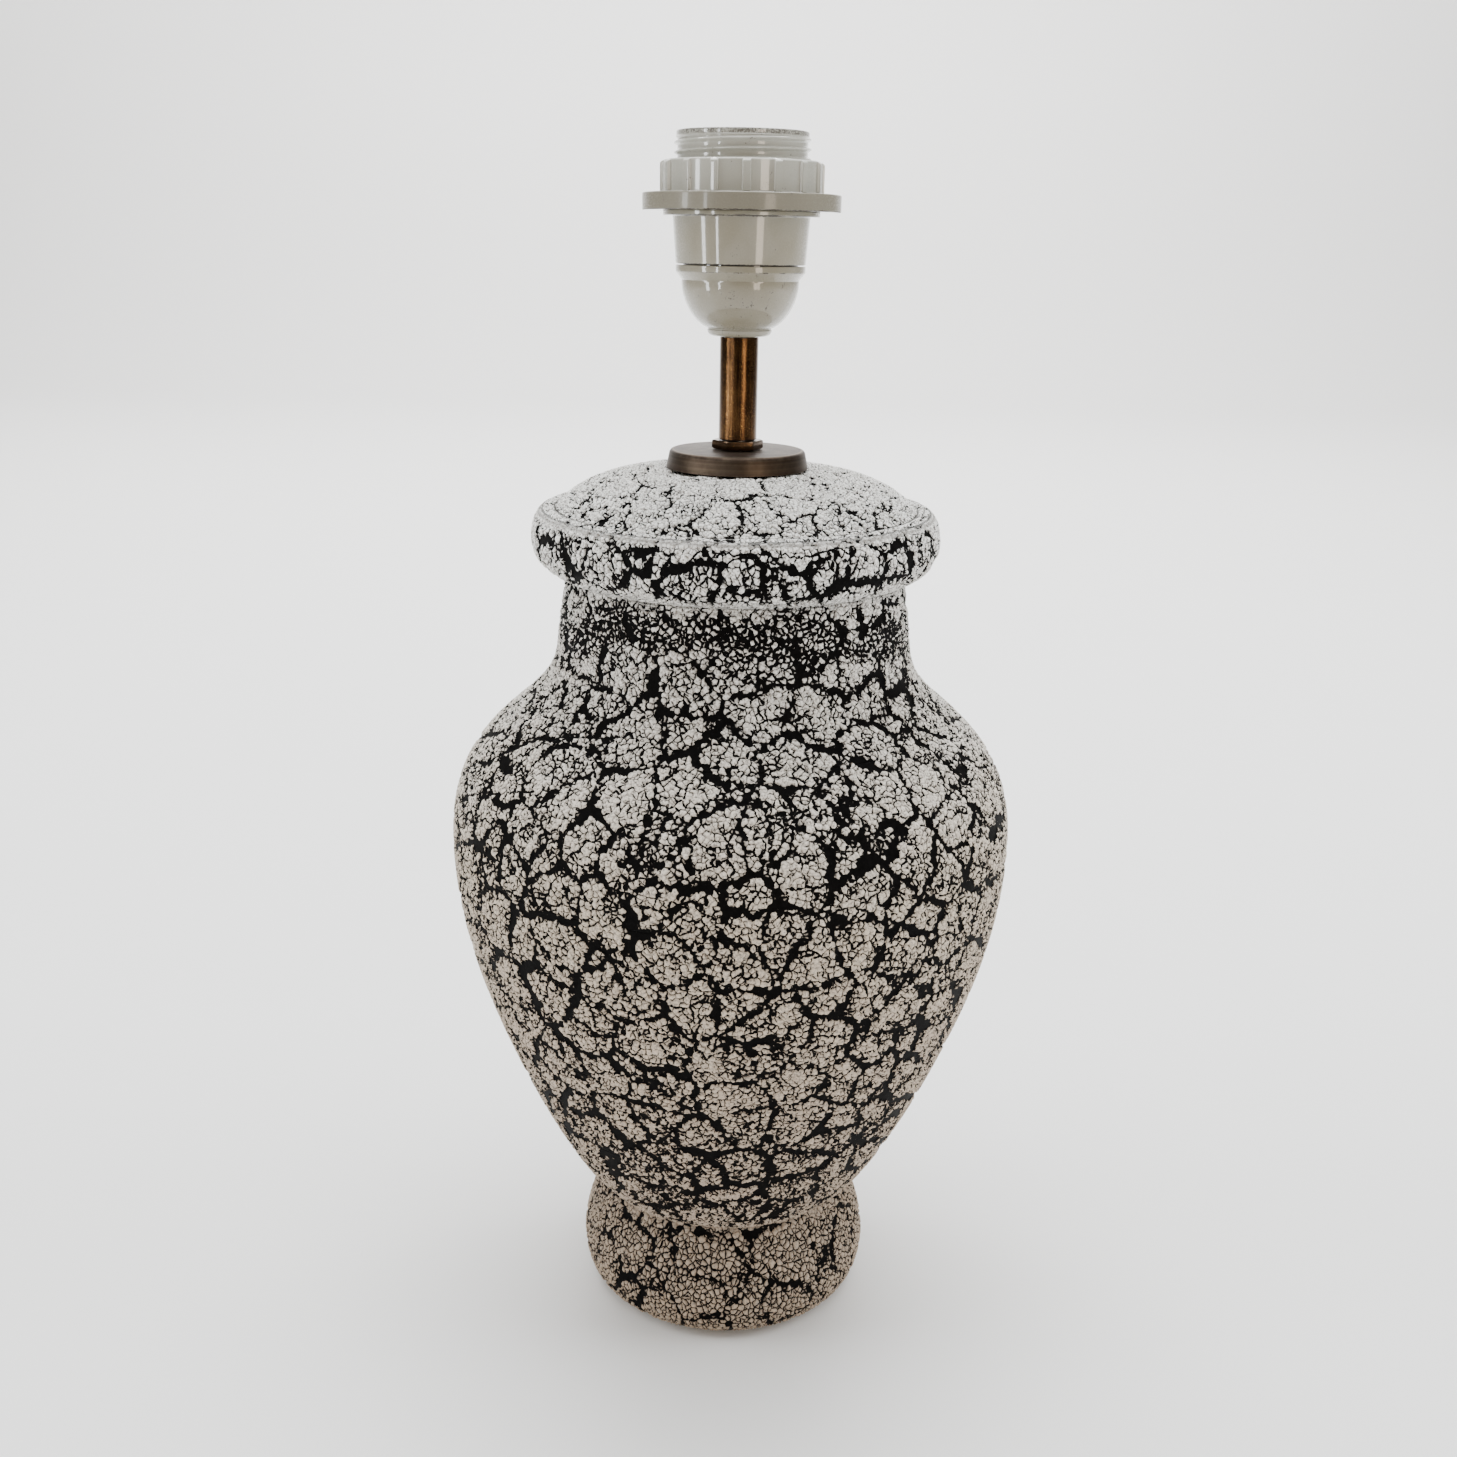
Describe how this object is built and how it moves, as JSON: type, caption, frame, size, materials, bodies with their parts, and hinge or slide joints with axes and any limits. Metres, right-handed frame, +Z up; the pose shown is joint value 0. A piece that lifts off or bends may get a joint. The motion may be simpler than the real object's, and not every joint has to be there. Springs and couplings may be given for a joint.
{
  "type": "table lamp",
  "caption": "Table lamp base: hollow vase-shaped ceramic body with a domed top and raised crackle glaze, short brass stem, and a screw-thread lampholder with a shade ring.",
  "frame": {"origin": "centre of the base, on the surface that the lamp stands on", "axes": "+Z up along the stem, -Y towards the viewer of the picture, cord hole at +Y"},
  "size_m": [0.1788, 0.1788, 0.3766],
  "materials": {
    "crackle_glaze": "matt raised crackle glaze, off-white islands over a near-black ground",
    "felt": "black felt",
    "black_rubber": "moulded black rubber",
    "bronzed_brass": "spun brass, satin bronzed",
    "aged_brass": "dark aged brass with drawn streaks",
    "zinc_plated_steel": "zinc plated, bright",
    "white_plastic": "glossy off-white moulding",
    "insert_porcelain": "white electrical porcelain",
    "contact_brass": "pressed brass, bright"
  },
  "bodies": {
    "base": {"ceramic_foot": "crackle_glaze", "ceramic_flank": "crackle_glaze", "ceramic_belly": "crackle_glaze", "ceramic_shoulder": "crackle_glaze", "ceramic_neck": "crackle_glaze", "ceramic_dome": "crackle_glaze", "felt_ring": "felt", "cord_grommet": "black_rubber", "inner_gasket": "black_rubber", "inner_washer": "zinc_plated_steel", "inner_lock_washer": "zinc_plated_steel", "inner_nut": "zinc_plated_steel", "threaded_rod": "zinc_plated_steel", "vase_cap": "bronzed_brass", "cap_nut": "aged_brass", "stem_tube": "aged_brass", "holder_dome": "white_plastic", "entry_bush": "contact_brass", "set_screw": "zinc_plated_steel", "holder_skirt": "white_plastic", "insert_base": "insert_porcelain", "screw_shell": "contact_brass", "rivet_live": "contact_brass", "rivet_neutral": "contact_brass", "terminal_live": "contact_brass", "terminal_neutral": "contact_brass", "terminal_screw_live": "zinc_plated_steel", "terminal_screw_neutral": "zinc_plated_steel"},
    "shade_ring": {"shade_ring": "white_plastic"},
    "centre_contact": {"centre_contact": "contact_brass"}
  },
  "joints": [
    {"name": "shade_ring_travel", "type": "slide", "parent": "base", "child": "shade_ring", "axis": [0, 0, 1], "range_m": [0, 0.026]},
    {"name": "centre_contact_flex", "type": "hinge", "parent": "base", "child": "centre_contact", "pos_m": [-0.0064, 0, 0.34935], "axis": [0, 1, 0], "range_deg": [0, 10], "stiffness_Nm_per_rad": 0.06}
  ]
}
